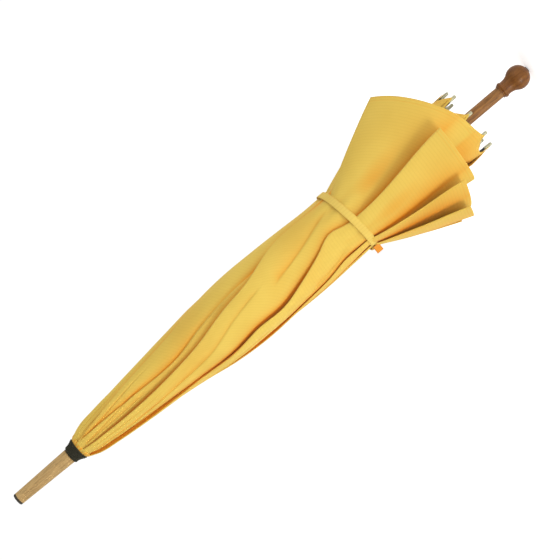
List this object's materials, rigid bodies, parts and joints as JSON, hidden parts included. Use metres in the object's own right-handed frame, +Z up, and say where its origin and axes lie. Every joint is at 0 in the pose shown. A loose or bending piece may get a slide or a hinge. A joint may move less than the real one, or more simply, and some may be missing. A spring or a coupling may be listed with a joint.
{
  "type": "stick umbrella",
  "caption": "Furled stick umbrella with ribbed cloth canopy tied by a strap, ball-knob wooden shaft and long wooden ferrule; opens by a sliding runner.",
  "frame": {"origin": "on the shaft's axis, halfway along the bare grip between the knob and the rib tips", "axes": "+Z runs up the shaft towards the ferrule, away from the knob; ribs stand around Z, the first at 5 degrees from +X"},
  "size_m": [0.176, 0.176, 0.8009],
  "materials": {
    "shaft_wood": "turned wood, clear satin varnish",
    "knob_wood": "turned wood, glossy brown varnish",
    "ferrule_wood": "pale bare wood, worn satin",
    "end_metal": "dull dark metal",
    "binding": "wound dark cord, matt",
    "bright_steel": "plated steel, satin",
    "rib_steel": "blackened spring steel, satin",
    "tip_cap": "pale greenish grey, satin",
    "cloth": "fine ribbed yellow cloth, soft sheen",
    "strap_cloth": "the same cloth folded into a stitched band",
    "tab_cloth": "orange woven tape"
  },
  "bodies": {
    "shaft": {"shaft": "shaft_wood", "knob": "knob_wood", "knob_plug": "end_metal", "ferrule": "ferrule_wood", "ferrule_cap": "end_metal", "crown_binding": "binding", "top_notch": "bright_steel", "crown_wire": "rib_steel", "runner_stop_pin": "bright_steel", "top_catch_pin": "bright_steel", "bottom_catch_pin": "bright_steel"},
    "runner": {"runner": "bright_steel"},
    "top_catch": {"top_catch": "rib_steel"},
    "bottom_catch": {"bottom_catch": "rib_steel"},
    "rib_1": {"rib_1": "rib_steel", "rib_tip_1": "tip_cap", "tie_strap": "strap_cloth", "strap_button": "end_metal", "strap_tab": "tab_cloth"},
    "stretcher_1": {"stretcher_1": "rib_steel"},
    "rib_2": {"rib_2": "rib_steel", "rib_tip_2": "tip_cap"},
    "stretcher_2": {"stretcher_2": "rib_steel"},
    "rib_3": {"rib_3": "rib_steel", "rib_tip_3": "tip_cap"},
    "stretcher_3": {"stretcher_3": "rib_steel"},
    "rib_4": {"rib_4": "rib_steel", "rib_tip_4": "tip_cap"},
    "stretcher_4": {"stretcher_4": "rib_steel"},
    "rib_5": {"rib_5": "rib_steel", "rib_tip_5": "tip_cap"},
    "stretcher_5": {"stretcher_5": "rib_steel"},
    "rib_6": {"rib_6": "rib_steel", "rib_tip_6": "tip_cap"},
    "stretcher_6": {"stretcher_6": "rib_steel"},
    "rib_7": {"rib_7": "rib_steel", "rib_tip_7": "tip_cap"},
    "stretcher_7": {"stretcher_7": "rib_steel"},
    "rib_8": {"rib_8": "rib_steel", "rib_tip_8": "tip_cap"},
    "stretcher_8": {"stretcher_8": "rib_steel"},
    "half_gore_1_left": {"half_gore_1_left": "cloth"},
    "half_gore_1_right": {"half_gore_1_right": "cloth"},
    "half_gore_2_left": {"half_gore_2_left": "cloth"},
    "half_gore_2_right": {"half_gore_2_right": "cloth"},
    "half_gore_3_left": {"half_gore_3_left": "cloth"},
    "half_gore_3_right": {"half_gore_3_right": "cloth"},
    "half_gore_4_left": {"half_gore_4_left": "cloth"},
    "half_gore_4_right": {"half_gore_4_right": "cloth"},
    "half_gore_5_left": {"half_gore_5_left": "cloth"},
    "half_gore_5_right": {"half_gore_5_right": "cloth"},
    "half_gore_6_left": {"half_gore_6_left": "cloth"},
    "half_gore_6_right": {"half_gore_6_right": "cloth"},
    "half_gore_7_left": {"half_gore_7_left": "cloth"},
    "half_gore_7_right": {"half_gore_7_right": "cloth"},
    "half_gore_8_left": {"half_gore_8_left": "cloth"},
    "half_gore_8_right": {"half_gore_8_right": "cloth"}
  },
  "joints": [
    {"name": "runner_slide", "type": "slide", "parent": "shaft", "child": "runner", "axis": [0, 0, 1], "range_m": [0, 0.26499]},
    {"name": "rib_1_hinge", "type": "hinge", "parent": "shaft", "child": "rib_1", "pos_m": [0.01046, 0.00092, 0.634], "axis": [0.0872, -0.9962, 0], "range_deg": [0, 60.11], "deforming": ["tie_strap", "strap_button", "strap_tab"]},
    {"name": "stretcher_1_hinge", "type": "hinge", "parent": "rib_1", "child": "stretcher_1", "pos_m": [0.0187, 0.00164, 0.38414], "axis": [0.0872, -0.9962, 0], "range_deg": [-120.22, 0]},
    {"name": "rib_2_hinge", "type": "hinge", "parent": "shaft", "child": "rib_2", "pos_m": [0.00675, 0.00804, 0.634], "axis": [0.766, -0.6428, 0], "range_deg": [0, 60.11]},
    {"name": "stretcher_2_hinge", "type": "hinge", "parent": "rib_2", "child": "stretcher_2", "pos_m": [0.01207, 0.01438, 0.38414], "axis": [0.766, -0.6428, 0], "range_deg": [-120.22, 0]},
    {"name": "rib_3_hinge", "type": "hinge", "parent": "shaft", "child": "rib_3", "pos_m": [-0.00092, 0.01046, 0.634], "axis": [0.9962, 0.0872, 0], "range_deg": [0, 60.11]},
    {"name": "stretcher_3_hinge", "type": "hinge", "parent": "rib_3", "child": "stretcher_3", "pos_m": [-0.00164, 0.0187, 0.38414], "axis": [0.9962, 0.0872, 0], "range_deg": [-120.22, 0]},
    {"name": "rib_4_hinge", "type": "hinge", "parent": "shaft", "child": "rib_4", "pos_m": [-0.00804, 0.00675, 0.634], "axis": [0.6428, 0.766, 0], "range_deg": [0, 60.11]},
    {"name": "stretcher_4_hinge", "type": "hinge", "parent": "rib_4", "child": "stretcher_4", "pos_m": [-0.01438, 0.01207, 0.38414], "axis": [0.6428, 0.766, 0], "range_deg": [-120.22, 0]},
    {"name": "rib_5_hinge", "type": "hinge", "parent": "shaft", "child": "rib_5", "pos_m": [-0.01046, -0.00092, 0.634], "axis": [-0.0872, 0.9962, 0], "range_deg": [0, 60.11]},
    {"name": "stretcher_5_hinge", "type": "hinge", "parent": "rib_5", "child": "stretcher_5", "pos_m": [-0.0187, -0.00164, 0.38414], "axis": [-0.0872, 0.9962, 0], "range_deg": [-120.22, 0]},
    {"name": "rib_6_hinge", "type": "hinge", "parent": "shaft", "child": "rib_6", "pos_m": [-0.00675, -0.00804, 0.634], "axis": [-0.766, 0.6428, 0], "range_deg": [0, 60.11]},
    {"name": "stretcher_6_hinge", "type": "hinge", "parent": "rib_6", "child": "stretcher_6", "pos_m": [-0.01207, -0.01438, 0.38414], "axis": [-0.766, 0.6428, 0], "range_deg": [-120.22, 0]},
    {"name": "rib_7_hinge", "type": "hinge", "parent": "shaft", "child": "rib_7", "pos_m": [0.00092, -0.01046, 0.634], "axis": [-0.9962, -0.0872, 0], "range_deg": [0, 60.11]},
    {"name": "stretcher_7_hinge", "type": "hinge", "parent": "rib_7", "child": "stretcher_7", "pos_m": [0.00164, -0.0187, 0.38414], "axis": [-0.9962, -0.0872, 0], "range_deg": [-120.22, 0]},
    {"name": "rib_8_hinge", "type": "hinge", "parent": "shaft", "child": "rib_8", "pos_m": [0.00804, -0.00675, 0.634], "axis": [-0.6428, -0.766, 0], "range_deg": [0, 60.11]},
    {"name": "stretcher_8_hinge", "type": "hinge", "parent": "rib_8", "child": "stretcher_8", "pos_m": [0.01438, -0.01207, 0.38414], "axis": [-0.6428, -0.766, 0], "range_deg": [-120.22, 0]},
    {"name": "half_gore_1_left_fan", "type": "hinge", "parent": "rib_1", "child": "half_gore_1_left", "pos_m": [0.00989, 0.00086, 0.64578], "axis": [0.9616, 0.2704, 0.0474], "range_deg": [0, 19.92], "deforming": ["half_gore_1_left"]},
    {"name": "half_gore_1_right_fan", "type": "hinge", "parent": "rib_2", "child": "half_gore_1_right", "pos_m": [0.00638, 0.00761, 0.64578], "axis": [-0.7731, -0.6326, -0.0474], "range_deg": [0, 19.92], "deforming": ["half_gore_1_right"]},
    {"name": "half_gore_2_left_fan", "type": "hinge", "parent": "rib_2", "child": "half_gore_2_left", "pos_m": [0.00638, 0.00761, 0.64578], "axis": [0.4887, 0.8712, 0.0474], "range_deg": [0, 19.92], "deforming": ["half_gore_2_left"]},
    {"name": "half_gore_2_right_fan", "type": "hinge", "parent": "rib_3", "child": "half_gore_2_right", "pos_m": [-0.00086, 0.00989, 0.64578], "axis": [-0.0993, -0.9939, -0.0474], "range_deg": [0, 19.92], "deforming": ["half_gore_2_right"]},
    {"name": "half_gore_3_left_fan", "type": "hinge", "parent": "rib_3", "child": "half_gore_3_left", "pos_m": [-0.00086, 0.00989, 0.64578], "axis": [-0.2704, 0.9616, 0.0474], "range_deg": [0, 19.92], "deforming": ["half_gore_3_left"]},
    {"name": "half_gore_3_right_fan", "type": "hinge", "parent": "rib_4", "child": "half_gore_3_right", "pos_m": [-0.00761, 0.00638, 0.64578], "axis": [0.6326, -0.7731, -0.0474], "range_deg": [0, 19.92], "deforming": ["half_gore_3_right"]},
    {"name": "half_gore_4_left_fan", "type": "hinge", "parent": "rib_4", "child": "half_gore_4_left", "pos_m": [-0.00761, 0.00638, 0.64578], "axis": [-0.8712, 0.4887, 0.0474], "range_deg": [0, 19.92], "deforming": ["half_gore_4_left"]},
    {"name": "half_gore_4_right_fan", "type": "hinge", "parent": "rib_5", "child": "half_gore_4_right", "pos_m": [-0.00989, -0.00086, 0.64578], "axis": [0.9939, -0.0993, -0.0474], "range_deg": [0, 19.92], "deforming": ["half_gore_4_right"]},
    {"name": "half_gore_5_left_fan", "type": "hinge", "parent": "rib_5", "child": "half_gore_5_left", "pos_m": [-0.00989, -0.00086, 0.64578], "axis": [-0.9616, -0.2704, 0.0474], "range_deg": [0, 19.92], "deforming": ["half_gore_5_left"]},
    {"name": "half_gore_5_right_fan", "type": "hinge", "parent": "rib_6", "child": "half_gore_5_right", "pos_m": [-0.00638, -0.00761, 0.64578], "axis": [0.7731, 0.6326, -0.0474], "range_deg": [0, 19.92], "deforming": ["half_gore_5_right"]},
    {"name": "half_gore_6_left_fan", "type": "hinge", "parent": "rib_6", "child": "half_gore_6_left", "pos_m": [-0.00638, -0.00761, 0.64578], "axis": [-0.4887, -0.8712, 0.0474], "range_deg": [0, 19.92], "deforming": ["half_gore_6_left"]},
    {"name": "half_gore_6_right_fan", "type": "hinge", "parent": "rib_7", "child": "half_gore_6_right", "pos_m": [0.00086, -0.00989, 0.64578], "axis": [0.0993, 0.9939, -0.0474], "range_deg": [0, 19.92], "deforming": ["half_gore_6_right"]},
    {"name": "half_gore_7_left_fan", "type": "hinge", "parent": "rib_7", "child": "half_gore_7_left", "pos_m": [0.00086, -0.00989, 0.64578], "axis": [0.2704, -0.9616, 0.0474], "range_deg": [0, 19.92], "deforming": ["half_gore_7_left"]},
    {"name": "half_gore_7_right_fan", "type": "hinge", "parent": "rib_8", "child": "half_gore_7_right", "pos_m": [0.00761, -0.00638, 0.64578], "axis": [-0.6326, 0.7731, -0.0474], "range_deg": [0, 19.92], "deforming": ["half_gore_7_right"]},
    {"name": "half_gore_8_left_fan", "type": "hinge", "parent": "rib_8", "child": "half_gore_8_left", "pos_m": [0.00761, -0.00638, 0.64578], "axis": [0.8712, -0.4887, 0.0474], "range_deg": [0, 19.92], "deforming": ["half_gore_8_left"]},
    {"name": "half_gore_8_right_fan", "type": "hinge", "parent": "rib_1", "child": "half_gore_8_right", "pos_m": [0.00989, 0.00086, 0.64578], "axis": [-0.9939, 0.0993, -0.0474], "range_deg": [0, 19.92], "deforming": ["half_gore_8_right"]},
    {"name": "top_catch_press", "type": "hinge", "parent": "shaft", "child": "top_catch", "pos_m": [0.00399, 0.00208, 0.3274], "axis": [0.4617, -0.887, 0], "range_deg": [0, 4.9], "stiffness_Nm_per_rad": 0.4},
    {"name": "bottom_catch_press", "type": "hinge", "parent": "shaft", "child": "bottom_catch", "pos_m": [0.00399, 0.00208, 0.128], "axis": [-0.4617, 0.887, 0], "range_deg": [0, 4.9], "stiffness_Nm_per_rad": 0.4}
  ],
  "couplings": [
    {"joint": "rib_1_hinge", "follows": "runner_slide", "rad_per_m": 3.9587},
    {"joint": "stretcher_1_hinge", "follows": "runner_slide", "rad_per_m": -7.9173},
    {"joint": "rib_2_hinge", "follows": "runner_slide", "rad_per_m": 3.9587},
    {"joint": "stretcher_2_hinge", "follows": "runner_slide", "rad_per_m": -7.9173},
    {"joint": "rib_3_hinge", "follows": "runner_slide", "rad_per_m": 3.9587},
    {"joint": "stretcher_3_hinge", "follows": "runner_slide", "rad_per_m": -7.9173},
    {"joint": "rib_4_hinge", "follows": "runner_slide", "rad_per_m": 3.9587},
    {"joint": "stretcher_4_hinge", "follows": "runner_slide", "rad_per_m": -7.9173},
    {"joint": "rib_5_hinge", "follows": "runner_slide", "rad_per_m": 3.9587},
    {"joint": "stretcher_5_hinge", "follows": "runner_slide", "rad_per_m": -7.9173},
    {"joint": "rib_6_hinge", "follows": "runner_slide", "rad_per_m": 3.9587},
    {"joint": "stretcher_6_hinge", "follows": "runner_slide", "rad_per_m": -7.9173},
    {"joint": "rib_7_hinge", "follows": "runner_slide", "rad_per_m": 3.9587},
    {"joint": "stretcher_7_hinge", "follows": "runner_slide", "rad_per_m": -7.9173},
    {"joint": "rib_8_hinge", "follows": "runner_slide", "rad_per_m": 3.9587},
    {"joint": "stretcher_8_hinge", "follows": "runner_slide", "rad_per_m": -7.9173},
    {"joint": "half_gore_1_left_fan", "follows": "runner_slide", "rad_per_m": 1.3115},
    {"joint": "half_gore_1_right_fan", "follows": "runner_slide", "rad_per_m": 1.3115},
    {"joint": "half_gore_2_left_fan", "follows": "runner_slide", "rad_per_m": 1.3115},
    {"joint": "half_gore_2_right_fan", "follows": "runner_slide", "rad_per_m": 1.3115},
    {"joint": "half_gore_3_left_fan", "follows": "runner_slide", "rad_per_m": 1.3115},
    {"joint": "half_gore_3_right_fan", "follows": "runner_slide", "rad_per_m": 1.3115},
    {"joint": "half_gore_4_left_fan", "follows": "runner_slide", "rad_per_m": 1.3115},
    {"joint": "half_gore_4_right_fan", "follows": "runner_slide", "rad_per_m": 1.3115},
    {"joint": "half_gore_5_left_fan", "follows": "runner_slide", "rad_per_m": 1.3115},
    {"joint": "half_gore_5_right_fan", "follows": "runner_slide", "rad_per_m": 1.3115},
    {"joint": "half_gore_6_left_fan", "follows": "runner_slide", "rad_per_m": 1.3115},
    {"joint": "half_gore_6_right_fan", "follows": "runner_slide", "rad_per_m": 1.3115},
    {"joint": "half_gore_7_left_fan", "follows": "runner_slide", "rad_per_m": 1.3115},
    {"joint": "half_gore_7_right_fan", "follows": "runner_slide", "rad_per_m": 1.3115},
    {"joint": "half_gore_8_left_fan", "follows": "runner_slide", "rad_per_m": 1.3115},
    {"joint": "half_gore_8_right_fan", "follows": "runner_slide", "rad_per_m": 1.3115}
  ]
}
